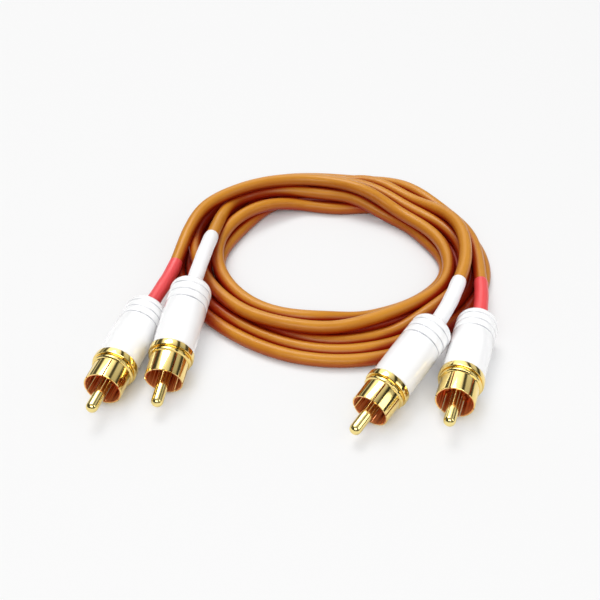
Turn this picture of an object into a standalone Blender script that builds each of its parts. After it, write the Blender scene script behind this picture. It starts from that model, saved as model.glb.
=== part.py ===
"""A pair of coiled audio cables with a gold-plated phono plug on each of the four ends."""
import bpy
import bmesh
from math import cos, pi, radians, sin
from mathutils import Matrix, Vector

MM = 0.001
GAP = 0.3

# Cable and heat-shrink boots, mm
CABLE_D = 3.8
WHITE_BOOT_D = 4.4
RED_BOOT_D = 4.1
BOOT_INSIDE = 4.0
BOOT_SIDES = 14

# Gold plug body, mm, measured rearwards from the mouth of the ground sleeve
SLEEVE_R = 5.26
SLEEVE_WALL = 0.85
SLEEVE_DEPTH = 6.0
EDGE = 0.15
LIP_R = 5.75
LIP_FRONT = 6.3
LIP_REAR = 7.1
COLLAR_R = 6.15
COLLAR_FRONT = 7.6
COLLAR_REAR = 9.4
GROOVE_R = 5.45
SLIT_COUNT = 6
SLIT_WIDTH = 0.45
SLIT_DEPTH = 5.6
SLIT_TURN = 2.0
SLIT_REACH = 0.6
BUSH_REAR = 17.0
BODY_SEGMENTS = 36

# Centre pin, mm
PIN_R = 1.6
PIN_OUT = 8.0
PIN_TIP = 1.5
PIN_TAIL = 19.0
PIN_EDGE = 0.2
CUP_BORE_R = 0.85
CUP_DEPTH = 3.5
CUP_POINT = 0.4
PIN_SEGMENTS = 20

# Insulator between the pin and the body, mm
INSULATOR_R = 3.32
INSULATOR_REAR = 15.5
INSULATOR_SEGMENTS = 24

# White shell, mm
SHELL_FRONT_R = 5.72
SHELL_MIDDLE_R = 5.85
SHELL_FRONT_EDGE = 0.2
SHELL_TAPER = 8.0
SHELL_REAR = 33.2
SHELL_REAR_LAND = 0.3
SHELL_WALL = 0.9
SHELL_REAR_WALL = 3.0
SHELL_INNER_TAPER = 1.4
SHELL_GROOVES = (8.4, 5.9, 3.4)
SHELL_GROOVE_W = 0.5
SHELL_GROOVE_DEEP = 0.25
SHELL_ROUND_STEPS = 5
SHELL_SEGMENTS = 32

# Cable clamp and inner lead, mm
CLAMP_CLEARANCE = 1.2
CLAMP_BORE_R = 1.7
CLAMP_FRONT = 22.0
CLAMP_REAR = 27.0
CLAMP_SEGMENTS = 20
TAIL_WIDTH = 2.4
TAIL_INSET = 1.0
TAIL_LOW = 0.6
TAIL_HIGH = 0.3
LEAD_R = 1.2
LEAD_STRIP = 1.0
LEAD_SEGMENTS = 14
CORE_R = 0.5

# Each plug: mouth centre, heading and nose-down pitch in degrees, boot end, boot diameter
PLUGS = (
    ("outer_left", (-51.1, -42.1, 6.17), -15.2, 0.0, (-36.6, 10.2, 6.2), RED_BOOT_D),
    ("inner_left", (-35.7, -38.5, 5.5), -9.9, 9.7, (-26.3, 16.7, 10.8), WHITE_BOOT_D),
    ("inner_right", (17.7, -49.1, 5.4), -35.3, 8.6, (45.2, -3.2, 10.1), WHITE_BOOT_D),
    ("outer_right", (39.5, -46.9, 6.17), -17.9, 0.0, (52.3, 1.0, 6.2), RED_BOOT_D),
)

# Coil centre on the floor, and the cable routes: radius and height in mm every
# 15 degrees, clockwise from the left of the coil, three and a half turns each
COIL_CENTRE = (10.5, 14.0)
STATION_STEP = 15.0
RED_FIRST_STATION = 15.0
RED_ROUTE = (
    (44.5, 9.8), (42.9, 10), (40.2, 10.1), (37.6, 9.8), (35.2, 9.5), (32.7, 9.3),
    (30, 9.8), (29.4, 8), (29.5, 5.7), (30.4, 5.8), (32, 6.1), (33.3, 6),
    (33.8, 5.8), (33.2, 6), (30.9, 5.75), (30.1, 5.75), (30.3, 5.7), (31.6, 5.4),
    (32.8, 5.7), (34.4, 6), (36.1, 5.6), (37.4, 5.5), (39.4, 5.6), (41.4, 5.85),
    (43.9, 5.6), (44, 5.5), (44.8, 5.8), (42.3, 6), (41.5, 5.6), (38.5, 5.6),
    (37.1, 6), (34.9, 5.8), (33.4, 5.65), (35, 5.8), (37.6, 5.5), (38.3, 5.6),
    (38.2, 5.6), (37.3, 5.9), (34.9, 4.8), (33.9, 2.2), (33.2, 1.9), (33.6, 1.9),
    (33.4, 1.9), (33.3, 1.9), (33.8, 1.9), (35.5, 1.9), (37.7, 1.9), (38.9, 1.9),
    (38.3, 1.9), (37.8, 1.9), (38.5, 1.9), (40.2, 1.9), (39.15, 1.9), (37, 1.9),
    (38.9, 1.9), (40.75, 1.9), (43.1, 1.9), (43, 1.9), (44.1, 1.9), (44.6, 1.9),
    (44.3, 1.9), (42.4, 1.9), (41.9, 1.9), (41.9, 1.9), (41.6, 1.9), (41.4, 1.9),
    (41.4, 1.9), (41.6, 1.9), (42.2, 1.9), (43.9, 1.9), (45.8, 1.9), (46.9, 1.9),
    (46.3, 1.9), (46.1, 1.9), (46.9, 1.9), (48.3, 1.9), (47, 1.9), (45, 1.9),
    (44.5, 2.4), (43.15, 5.2), (41.4, 6), (41.3, 5.4), (42.3, 5.8), (42.4, 5.6),
)
WHITE_FIRST_STATION = 30.0
WHITE_ROUTE = (
    (39.25, 7.5), (40.5, 5.8), (38.1, 5.85), (33.4, 5.8), (30.8, 5.6), (29.3, 6),
    (28.5, 3.6), (30, 1.9), (30.2, 1.9), (31.4, 1.9), (33.2, 1.9), (32.1, 1.9),
    (29.6, 1.9), (27.4, 1.9), (25.7, 1.9), (25.2, 2.2), (26.2, 4), (28.9, 5.9),
    (30.5, 5.7), (32.2, 5.6), (33.3, 5.6), (34.5, 5.9), (35.1, 6), (35.4, 5.9),
    (34.9, 5.9), (33.3, 6), (32.2, 4.4), (31.2, 1.9), (28.4, 1.9), (30.1, 1.9),
    (32.9, 1.9), (35.25, 1.9), (35.4, 1.9), (36.2, 1.9), (37, 1.9), (36.3, 1.9),
    (33.7, 1.9), (31.5, 1.9), (29.6, 1.9), (29.1, 1.9), (29.8, 1.9), (29.5, 1.9),
    (29.4, 1.9), (29.6, 1.9), (31.3, 1.9), (33.6, 1.9), (34.9, 1.9), (34.2, 1.9),
    (33.6, 1.9), (34.4, 1.9), (36.1, 1.9), (35.2, 1.9), (33.1, 1.9), (35, 1.9),
    (36.9, 1.9), (39.2, 1.9), (39.2, 1.9), (40.1, 1.9), (40.8, 1.9), (40.3, 1.9),
    (38.4, 1.9), (37.8, 1.9), (37.9, 1.9), (37.5, 1.9), (37.5, 1.9), (37.4, 1.9),
    (37.5, 1.9), (38, 1.9), (39.7, 1.9), (41.7, 1.9), (43, 1.9), (42.4, 1.9),
    (41.9, 1.9), (42.7, 1.9), (44.4, 1.9), (43.1, 1.9), (41.2, 2.6), (41.1, 5.5),
    (38.8, 5.75), (37.4, 6), (38.1, 8.3), (38.8, 9.7), (38.4, 9.8), (38.4, 9.9),
)

# Colours of the materials
GOLD = (0.86, 0.60, 0.17, 1.0)
WHITE_PAINT = (0.86, 0.86, 0.87, 1.0)
JACKET = (0.62, 0.27, 0.05, 1.0)
RED = (0.75, 0.07, 0.05, 1.0)
WHITE_SLEEVE = (0.85, 0.85, 0.85, 1.0)
AMBER = (0.45, 0.06, 0.02, 1.0)
COPPER = (0.72, 0.36, 0.20, 1.0)


def clear_scene():
    """Remove every object of the start-up scene."""
    for item in list(bpy.data.objects):
        bpy.data.objects.remove(item, do_unlink=True)


def material(name, colour, metallic, roughness):
    """Make one Principled material."""
    made = bpy.data.materials.new(name)
    made.use_nodes = True
    shader = made.node_tree.nodes["Principled BSDF"]
    shader.inputs["Base Color"].default_value = colour
    shader.inputs["Metallic"].default_value = metallic
    shader.inputs["Roughness"].default_value = roughness
    made.diffuse_color = colour
    return made


def link_object(name, mesh, look):
    """Put a mesh in the scene as an object with its own material."""
    item = bpy.data.objects.new(name, mesh)
    bpy.context.scene.collection.objects.link(item)
    mesh.materials.append(material(name, *look))
    return item


def mesh_from(bm, name):
    """Turn a bmesh with outward faces into smooth-shaded mesh data."""
    bmesh.ops.recalc_face_normals(bm, faces=bm.faces)
    mesh = bpy.data.meshes.new(name)
    bm.to_mesh(mesh)
    bm.free()
    for face in mesh.polygons:
        face.use_smooth = True
    mesh.set_sharp_from_angle(angle=radians(35.0))
    return mesh


def turned(profile, segments, closed):
    """Turn (axial, radius) points about the local Z axis; a closed profile makes a ring."""
    bm = bmesh.new()
    rings = []
    for axial, radius in profile:
        if radius <= 0.0:
            rings.append([bm.verts.new((0.0, 0.0, axial * MM))])
            continue
        ring = []
        for index in range(segments):
            angle = 2.0 * pi * index / segments
            ring.append(bm.verts.new((radius * MM * cos(angle), radius * MM * sin(angle), axial * MM)))
        rings.append(ring)
    pairs = list(zip(rings, rings[1:]))
    if closed:
        pairs.append((rings[-1], rings[0]))
    for first, second in pairs:
        for index in range(segments):
            after = (index + 1) % segments
            if len(first) == 1:
                bm.faces.new((first[0], second[after], second[index]))
            elif len(second) == 1:
                bm.faces.new((first[index], first[after], second[0]))
            else:
                bm.faces.new((first[index], first[after], second[after], second[index]))
    return bm


def cut(item, cutters):
    """Subtract the cutters from an object and drop them."""
    for cutter in cutters:
        cutter.hide_render = True
        cutter.display_type = "WIRE"
        step = item.modifiers.new("cut", "BOOLEAN")
        step.operation = "DIFFERENCE"
        step.solver = "EXACT"
        step.object = cutter
    evaluated = item.evaluated_get(bpy.context.evaluated_depsgraph_get())
    mesh = bpy.data.meshes.new_from_object(evaluated)
    item.modifiers.clear()
    old = item.data
    item.data = mesh
    bpy.data.meshes.remove(old)
    for cutter in cutters:
        bpy.data.objects.remove(cutter, do_unlink=True)


def box_bmesh(low, high):
    """Make a box from two opposite corners in mm."""
    bm = bmesh.new()
    bmesh.ops.create_cube(bm, size=1.0)
    size = [(b - a) * MM for a, b in zip(low, high)]
    middle = [(a + b) * 0.5 * MM for a, b in zip(low, high)]
    place = Matrix.Translation(middle) @ Matrix.Diagonal((*size, 1.0))
    bmesh.ops.transform(bm, matrix=place, verts=bm.verts)
    return bm


def plug_matrix(mouth, heading, pitch):
    """Place a plug: local Z runs rearwards from the mouth and local X stays level."""
    turn = radians(heading)
    nose = radians(pitch)
    rear = Vector((-sin(turn) * cos(nose), cos(turn) * cos(nose), sin(nose)))
    side = Vector((cos(turn), sin(turn), 0.0))
    up = rear.cross(side)
    place = Matrix((side, up, rear)).transposed().to_4x4()
    place.translation = Vector(mouth) * MM
    return place


def shell_bore():
    """Radius of the shell's inside."""
    return SHELL_FRONT_R - SHELL_WALL


def bush_r():
    """Radius of the body's rear bush, which fits the shell's inside."""
    return shell_bore() - GAP


def bore_r():
    """Radius of the hole through the bush, which takes the insulator."""
    return INSULATOR_R + GAP


def body_profile():
    """Outline of the gold body: sleeve, lip, groove, collar and rear bush."""
    inner = SLEEVE_R - SLEEVE_WALL
    return [
        (0.0, SLEEVE_R - EDGE), (EDGE, SLEEVE_R), (LIP_FRONT - 2 * EDGE, SLEEVE_R),
        (LIP_FRONT, LIP_R - EDGE), (LIP_FRONT + EDGE, LIP_R), (LIP_REAR - EDGE, LIP_R),
        (LIP_REAR, GROOVE_R), (COLLAR_FRONT - EDGE, GROOVE_R), (COLLAR_FRONT, COLLAR_R - EDGE),
        (COLLAR_FRONT + EDGE, COLLAR_R), (COLLAR_REAR - EDGE, COLLAR_R), (COLLAR_REAR, COLLAR_R - EDGE),
        (COLLAR_REAR, bush_r()), (BUSH_REAR - 2 * EDGE, bush_r()), (BUSH_REAR, bush_r() - 2 * EDGE),
        (BUSH_REAR, bore_r()), (SLEEVE_DEPTH, bore_r()), (SLEEVE_DEPTH, inner), (EDGE, inner),
        (0.0, inner + EDGE),
    ]


def make_body(label):
    """Gold ground sleeve and collar with lengthwise slits that open at the mouth."""
    body = link_object("body_" + label, mesh_from(turned(body_profile(), BODY_SEGMENTS, True), "body"),
                       (GOLD, 1.0, 0.2))
    cutters = []
    for index in range(SLIT_COUNT):
        inner = SLEEVE_R - SLEEVE_WALL - SLIT_REACH
        bm = box_bmesh((inner, -SLIT_WIDTH / 2, -SLIT_REACH),
                       (SLEEVE_R + SLIT_REACH, SLIT_WIDTH / 2, SLIT_DEPTH))
        angle = radians(360.0 * (index + 0.5) / SLIT_COUNT + SLIT_TURN)
        bmesh.ops.transform(bm, matrix=Matrix.Rotation(angle, 4, "Z"), verts=bm.verts)
        mesh = bpy.data.meshes.new("slit")
        bm.to_mesh(mesh)
        bm.free()
        cutter = bpy.data.objects.new("slit", mesh)
        bpy.context.scene.collection.objects.link(cutter)
        cutters.append(cutter)
    cut(body, cutters)
    return body


def make_pin(label):
    """Gold centre pin with a rounded tip and a solder cup at the tail."""
    profile = [(-PIN_OUT, 0.0)]
    for share in (0.3, 0.6, 0.85):
        angle = share * pi / 2.0
        profile.append((-PIN_OUT + PIN_TIP * (1.0 - cos(angle)), PIN_R * sin(angle)))
    profile.append((-PIN_OUT + PIN_TIP, PIN_R))
    profile += [
        (PIN_TAIL - PIN_EDGE, PIN_R), (PIN_TAIL, PIN_R - PIN_EDGE), (PIN_TAIL, CUP_BORE_R),
        (PIN_TAIL - CUP_DEPTH, CUP_BORE_R), (PIN_TAIL - CUP_DEPTH - CUP_POINT, 0.0),
    ]
    bm = turned(profile, PIN_SEGMENTS, False)
    return link_object("pin_" + label, mesh_from(bm, "pin"), (GOLD, 1.0, 0.15))


def make_insulator(label):
    """Insulating bush that holds the pin in the body."""
    profile = [
        (SLEEVE_DEPTH + GAP, INSULATOR_R), (INSULATOR_REAR, INSULATOR_R),
        (INSULATOR_REAR, PIN_R + GAP), (SLEEVE_DEPTH + GAP, PIN_R + GAP),
    ]
    bm = turned(profile, INSULATOR_SEGMENTS, True)
    return link_object("insulator_" + label, mesh_from(bm, "insulator"), (AMBER, 0.0, 0.4))


def shell_profile(boot_r):
    """Outline of the white shell, with three fine grooves and a round rear edge."""
    front = COLLAR_REAR + GAP
    hole = boot_r + GAP
    inner = shell_bore()
    reach = SHELL_MIDDLE_R - hole - SHELL_REAR_LAND
    points = [(front, SHELL_FRONT_R - SHELL_FRONT_EDGE), (front + SHELL_FRONT_EDGE, SHELL_FRONT_R),
              (front + SHELL_TAPER, SHELL_MIDDLE_R)]
    for from_rear in SHELL_GROOVES:
        groove = SHELL_REAR - from_rear
        points.append((groove - SHELL_GROOVE_W / 2, SHELL_MIDDLE_R))
        points.append((groove - SHELL_GROOVE_W / 5, SHELL_MIDDLE_R - SHELL_GROOVE_DEEP))
        points.append((groove + SHELL_GROOVE_W / 5, SHELL_MIDDLE_R - SHELL_GROOVE_DEEP))
        points.append((groove + SHELL_GROOVE_W / 2, SHELL_MIDDLE_R))
    for step in range(SHELL_ROUND_STEPS + 1):
        angle = step / SHELL_ROUND_STEPS * pi / 2.0
        points.append((SHELL_REAR - (SHELL_GROOVES[-1] - SHELL_GROOVE_W) * (1.0 - sin(angle)),
                       SHELL_MIDDLE_R - reach * (1.0 - cos(angle))))
    points += [
        (SHELL_REAR, hole), (SHELL_REAR - SHELL_REAR_WALL, hole),
        (SHELL_REAR - SHELL_REAR_WALL - SHELL_INNER_TAPER, inner), (front, inner),
    ]
    return points


def make_shell(label, boot_r):
    """White enamelled shell, open at the front and with a boot hole at the rear."""
    bm = turned(shell_profile(boot_r), SHELL_SEGMENTS, True)
    return link_object("shell_" + label, mesh_from(bm, "shell"), (WHITE_PAINT, 0.0, 0.25))


def make_clamp(label):
    """Crimp ring round the inner cable end with a ground tail to the body's bush."""
    outer = shell_bore() - CLAMP_CLEARANCE
    profile = [
        (CLAMP_FRONT, outer), (CLAMP_REAR, outer), (CLAMP_REAR, CLAMP_BORE_R), (CLAMP_FRONT, CLAMP_BORE_R),
    ]
    bm = turned(profile, CLAMP_SEGMENTS, True)
    ring = link_object("clamp_" + label, mesh_from(bm, "clamp"), (GOLD, 1.0, 0.3))
    bm = box_bmesh((-TAIL_WIDTH / 2, CLAMP_BORE_R + TAIL_LOW, BUSH_REAR + GAP),
                   (TAIL_WIDTH / 2, outer - TAIL_HIGH, CLAMP_REAR - TAIL_INSET))
    mesh = bpy.data.meshes.new("tail")
    bm.to_mesh(mesh)
    bm.free()
    tail = bpy.data.objects.new("tail", mesh)
    bpy.context.scene.collection.objects.link(tail)
    tail.hide_render = True
    tail.display_type = "WIRE"
    step = ring.modifiers.new("join", "BOOLEAN")
    step.operation = "UNION"
    step.solver = "EXACT"
    step.object = tail
    evaluated = ring.evaluated_get(bpy.context.evaluated_depsgraph_get())
    joined = bpy.data.meshes.new_from_object(evaluated)
    ring.modifiers.clear()
    old = ring.data
    ring.data = joined
    bpy.data.meshes.remove(old)
    bpy.data.objects.remove(tail, do_unlink=True)
    return ring


def make_lead(label):
    """Insulated inner lead from the boot to the pin, with its bare core in the solder cup."""
    core_front = PIN_TAIL - CUP_DEPTH + GAP
    jacket_front = PIN_TAIL + LEAD_STRIP
    rear = SHELL_REAR - BOOT_INSIDE - GAP
    profile = [
        (core_front, 0.0), (core_front, CORE_R), (jacket_front, CORE_R), (jacket_front, LEAD_R),
        (rear, LEAD_R), (rear, 0.0),
    ]
    bm = turned(profile, LEAD_SEGMENTS, False)
    return link_object("lead_" + label, mesh_from(bm, "lead"), (COPPER, 0.0, 0.5))


def bezier(points, share):
    """Point on a cubic Bezier curve."""
    a, b, c, d = points
    rest = 1.0 - share
    return (a * rest ** 3 + b * 3.0 * rest * rest * share + c * 3.0 * rest * share * share + d * share ** 3)


def make_boot(label, place, boot_end, boot_d, leave):
    """Heat-shrink boot swept from inside the shell to the start of the free cable."""
    start = place @ Vector((0.0, 0.0, (SHELL_REAR - BOOT_INSIDE) * MM))
    out = (place.to_3x3() @ Vector((0.0, 0.0, 1.0))).normalized()
    end = Vector(boot_end) * MM
    reach = (end - start).length
    curve = (start, start + out * reach * 0.45, end - leave * reach * 0.25, end)
    steps = 10
    centres = [start, start + out * (BOOT_INSIDE + 0.6) * MM]
    for index in range(1, steps + 1):
        point = bezier(curve, index / steps)
        if (point - centres[1]).dot(out) > 0.6 * MM:
            centres.append(point)
    bm = bmesh.new()
    rings = []
    side = Vector((0.0, 0.0, 1.0)).cross(out).normalized()
    for index, centre in enumerate(centres):
        before = centres[max(0, index - 1)]
        after = centres[min(len(centres) - 1, index + 1)]
        along = (after - before).normalized()
        if index == 0:
            along = out
        if index == len(centres) - 1:
            along = leave
        up = along.cross(side).normalized()
        flat = up.cross(along).normalized()
        ring = []
        for corner in range(BOOT_SIDES):
            angle = 2.0 * pi * corner / BOOT_SIDES
            ring.append(bm.verts.new(centre + (flat * cos(angle) + up * sin(angle)) * boot_d / 2.0 * MM))
        rings.append(ring)
    for first, second in zip(rings, rings[1:]):
        for corner in range(BOOT_SIDES):
            after = (corner + 1) % BOOT_SIDES
            bm.faces.new((first[corner], first[after], second[after], second[corner]))
    bm.faces.new(list(reversed(rings[0])))
    bm.faces.new(rings[-1])
    colour = RED if boot_d == RED_BOOT_D else WHITE_SLEEVE
    return link_object("boot_" + label, mesh_from(bm, "boot"), (colour, 0.0, 0.45))


def station_points(route, first):
    """Turn the (radius, height) stations into points in mm."""
    points = []
    for index, (radius, height) in enumerate(route):
        angle = radians(180.0 - first - STATION_STEP * index)
        points.append(Vector((COIL_CENTRE[0] + radius * cos(angle),
                              COIL_CENTRE[1] + radius * sin(angle), height)))
    return points


def cable_points(route, first, start, end):
    """Full centreline of one cable from boot end to boot end, with a gap at each."""
    inner = station_points(route, first)
    start = Vector(start)
    end = Vector(end)
    start = start + (inner[0] - start).normalized() * GAP
    end = end + (inner[-1] - end).normalized() * GAP
    return [start] + inner + [end]


def make_cable(name, points):
    """Free cable as a round tube along its centreline."""
    data = bpy.data.curves.new(name, "CURVE")
    data.dimensions = "3D"
    data.bevel_depth = CABLE_D / 2.0 * MM
    data.bevel_resolution = 2
    data.use_fill_caps = True
    spline = data.splines.new("POLY")
    spline.points.add(len(points) - 1)
    for slot, point in zip(spline.points, points):
        slot.co = (point.x * MM, point.y * MM, point.z * MM, 1.0)
    item = bpy.data.objects.new(name, data)
    bpy.context.scene.collection.objects.link(item)
    data.materials.append(material(name, JACKET, 0.0, 0.4))
    return item


def box_of(items):
    """Corners of the box round the given mesh objects."""
    corners = [vertex.co for item in items for vertex in item.data.vertices]
    low = Vector([min(corner[axis] for corner in corners) for axis in range(3)])
    high = Vector([max(corner[axis] for corner in corners) for axis in range(3)])
    return low, high


def main():
    """Build both cables and their four plugs about the middle of the plugs' footprint."""
    clear_scene()
    ends = {label: end for label, _, _, _, end, _ in PLUGS}
    red = cable_points(RED_ROUTE, RED_FIRST_STATION, ends["outer_left"], ends["outer_right"])
    white = cable_points(WHITE_ROUTE, WHITE_FIRST_STATION, ends["inner_left"], ends["inner_right"])
    leaves = {
        "outer_left": (red[1] - red[0]).normalized(),
        "outer_right": (red[-2] - red[-1]).normalized(),
        "inner_left": (white[1] - white[0]).normalized(),
        "inner_right": (white[-2] - white[-1]).normalized(),
    }
    pieces = []
    for label, mouth, heading, pitch, boot_end, boot_d in PLUGS:
        place = plug_matrix(mouth, heading, pitch)
        made = [make_body(label), make_pin(label), make_insulator(label), make_shell(label, boot_d / 2.0),
                make_clamp(label), make_lead(label)]
        for item in made:
            item.data.transform(place)
        made.append(make_boot(label, place, boot_end, boot_d, leaves[label]))
        pieces += made
    low, high = box_of(pieces)
    shift = Vector((-(low.x + high.x) / 2.0, -(low.y + high.y) / 2.0, -low.z))
    for item in pieces:
        item.data.transform(Matrix.Translation(shift))
    print("shift in mm", [round(value * 1000.0, 3) for value in shift])
    for name, points in (("cable_outer", red), ("cable_inner", white)):
        make_cable(name, [point + shift / MM for point in points])


if __name__ == "__main__":
    main()
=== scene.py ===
"""Coiled pair of phono cables on a pale table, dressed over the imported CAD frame."""
from __future__ import annotations

import logging
from dataclasses import dataclass, field
from enum import Enum
from math import cos, pi, radians, sin
from typing import Any

import bpy
import numpy as np
from mathutils import Matrix, Vector


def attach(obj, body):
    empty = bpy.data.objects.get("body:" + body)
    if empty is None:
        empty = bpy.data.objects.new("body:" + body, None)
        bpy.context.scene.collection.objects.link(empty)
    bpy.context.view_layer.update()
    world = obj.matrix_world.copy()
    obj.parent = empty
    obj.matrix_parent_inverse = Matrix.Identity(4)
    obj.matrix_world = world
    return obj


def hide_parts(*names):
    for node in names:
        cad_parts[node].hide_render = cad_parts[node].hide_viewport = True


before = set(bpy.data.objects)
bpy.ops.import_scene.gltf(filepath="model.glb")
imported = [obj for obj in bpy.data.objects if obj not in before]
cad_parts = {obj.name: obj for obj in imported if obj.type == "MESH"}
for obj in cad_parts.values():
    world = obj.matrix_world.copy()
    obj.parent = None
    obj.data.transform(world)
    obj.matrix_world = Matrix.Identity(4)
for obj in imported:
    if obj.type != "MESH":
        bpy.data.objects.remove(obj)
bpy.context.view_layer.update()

LOG = logging.getLogger("audio_cable")
MM = 0.001
ROOT = "root"
LOCAL = "local_mm"

Point = tuple[float, float, float]
Ring = tuple[float, float]      # place along a turned piece and radius, or radius and height
Pair = tuple[float, float]      # two ends, a level and its soft width, or a base and a share
Stripe = tuple[float, float, float]     # middle, half width and soft edge
Colour = tuple[float, float, float, float]
Piece = bpy.types.Object
EVEN: Point = (1.0, 1.0, 1.0)

# From the photograph's floor frame, in mm, to the row frame
SHIFT = Vector((0.815, 19.303, -0.02))

# Coil centre and the cable routes: radius and height in mm every 15 degrees, clockwise
# from the left of the coil. A radius alone is where the cable lies on the table.
COIL_CENTRE = (10.5, 14.0)
STATION_STEP = 15.0
ON_TABLE = 1.9
OUTER_ROUTE: tuple[Ring | float, ...] = (
    (44.5, 9.8), (42.9, 10), (40.2, 10.1), (37.6, 9.8), (35.2, 9.5), (32.7, 9.3), (30, 9.8),
    (29.4, 8), (29.5, 5.7), (30.4, 5.8), (32, 6.1), (33.3, 6), (33.8, 5.8), (33.2, 6),
    (30.9, 5.75), (30.1, 5.75), (30.3, 5.7), (31.6, 5.4), (32.8, 5.7), (34.4, 6), (36.1, 5.6),
    (37.4, 5.5), (39.4, 5.6), (41.4, 5.85), (43.9, 5.6), (44, 5.5), (44.8, 5.8), (42.3, 6),
    (41.5, 5.6), (38.5, 5.6), (37.1, 6), (34.9, 5.8), (33.4, 5.65), (35, 5.8), (37.6, 5.5),
    (38.3, 5.6), (38.2, 5.6), (37.3, 5.9), (34.9, 4.8), (33.9, 2.2), 33.2, 33.6, 33.4, 33.3, 33.8,
    35.5, 37.7, 38.9, 38.3, 37.8, 38.5, 40.2, 39.15, 37, 38.9, 40.75, 43.1, 43, 44.1, 44.6, 44.3,
    42.4, 41.9, 41.9, 41.6, 41.4, 41.4, 41.6, 42.2, 43.9, 45.8, 46.9, 46.3, 46.1, 46.9, 48.3, 47,
    45, (44.5, 2.4), (43.15, 5.2), (41.4, 6), (41.3, 5.4), (42.3, 5.8), (42.4, 5.6),
)
INNER_ROUTE: tuple[Ring | float, ...] = (
    (39.25, 7.5), (40.5, 5.8), (38.1, 5.85), (33.4, 5.8), (30.8, 5.6), (29.3, 6), (28.5, 3.6), 30,
    30.2, 31.4, 33.2, 32.1, 29.6, 27.4, 25.7, (25.2, 2.2), (26.2, 4), (28.9, 5.9), (30.5, 5.7),
    (32.2, 5.6), (33.3, 5.6), (34.5, 5.9), (35.1, 6), (35.4, 5.9), (34.9, 5.9), (33.3, 6),
    (32.2, 4.4), 31.2, 28.4, 30.1, 32.9, 35.25, 35.4, 36.2, 37, 36.3, 33.7, 31.5, 29.6, 29.1,
    29.8, 29.5, 29.4, 29.6, 31.3, 33.6, 34.9, 34.2, 33.6, 34.4, 36.1, 35.2, 33.1, 35, 36.9, 39.2,
    39.2, 40.1, 40.8, 40.3, 38.4, 37.8, 37.9, 37.5, 37.5, 37.4, 37.5, 38, 39.7, 41.7, 43, 42.4,
    41.9, 42.7, 44.4, 43.1, (41.2, 2.6), (41.1, 5.5), (38.8, 5.75), (37.4, 6), (38.1, 8.3),
    (38.8, 9.7), (38.4, 9.8), (38.4, 9.9),
)

# The three turned grooves of a shell, in mm behind the mouth of its plug
GROOVES = (24.8, 27.3, 29.8)


class Corner(Enum):
    """Which of the four plugs a piece belongs to."""

    OUTER_LEFT = "outer_left"
    INNER_LEFT = "inner_left"
    INNER_RIGHT = "inner_right"
    OUTER_RIGHT = "outer_right"


# Shader maths
class Sock:
    """A socket that adds Math nodes when it is used in an expression."""

    def __init__(self, tree: bpy.types.NodeTree, socket: Any) -> None:
        """Wrap a socket of a node tree."""
        self.tree = tree
        self.socket = socket

    def _math(self, operation: str, *values: Any) -> Sock:
        """Add one Math node.

        Args:
            operation: The node's operation.
            values: Its values in order, numbers or Socks.

        Returns:
            The node's output.
        """
        node = self.tree.nodes.new("ShaderNodeMath")
        node.operation = operation
        for slot, value in zip(node.inputs, values):
            supply(self.tree, slot, value)
        return Sock(self.tree, node.outputs[0])

    def __add__(self, other: Any) -> Sock:
        """Sum."""
        return self._math("ADD", self, other)

    __radd__ = __add__

    def __sub__(self, other: Any) -> Sock:
        """Difference."""
        return self._math("SUBTRACT", self, other)

    def __rsub__(self, other: Any) -> Sock:
        """Reflected difference."""
        return self._math("SUBTRACT", other, self)

    def __mul__(self, other: Any) -> Sock:
        """Product."""
        return self._math("MULTIPLY", self, other)

    __rmul__ = __mul__

    def __truediv__(self, other: Any) -> Sock:
        """Quotient."""
        return self._math("DIVIDE", self, other)

    def __rtruediv__(self, other: Any) -> Sock:
        """Reflected quotient."""
        return self._math("DIVIDE", other, self)

    def __abs__(self) -> Sock:
        """Size without sign."""
        return self._math("ABSOLUTE", self)

    def clamp(self, low: float = 0.0, high: float = 1.0) -> Sock:
        """Limit to a range."""
        return self._math("MINIMUM", self._math("MAXIMUM", self, low), high)

    def band(self, middle: float, half: float, soft: float) -> Sock:
        """Make a stripe, 1 round a value and 0 away from it.

        Args:
            middle: Value at the middle of the stripe.
            half: Half its width.
            soft: Width over which it fades.

        Returns:
            The stripe's mask.
        """
        return ((half + soft - abs(self - middle)) / soft).clamp()

    def above(self, level: float, soft: float) -> Sock:
        """1 above a level and 0 below it, with a soft step."""
        return ((self - level) / soft + 0.5).clamp()

    def below(self, level: float, soft: float) -> Sock:
        """1 below a level and 0 above it, with a soft step."""
        return 1.0 - self.above(level, soft)

    def turn(self, other: Sock) -> Sock:
        """Angle of the direction (other, self), in half turns."""
        return self._math("ARCTAN2", self, other) * (1.0 / pi)


def supply(tree: bpy.types.NodeTree, slot: Any, value: Any) -> None:
    """Link an input to a Sock, or set it to a plain value.

    Args:
        tree: The node tree.
        slot: The node's input.
        value: A Sock or a plain value.
    """
    if isinstance(value, Sock):
        tree.links.new(value.socket, slot)
    else:
        slot.default_value = value


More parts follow.
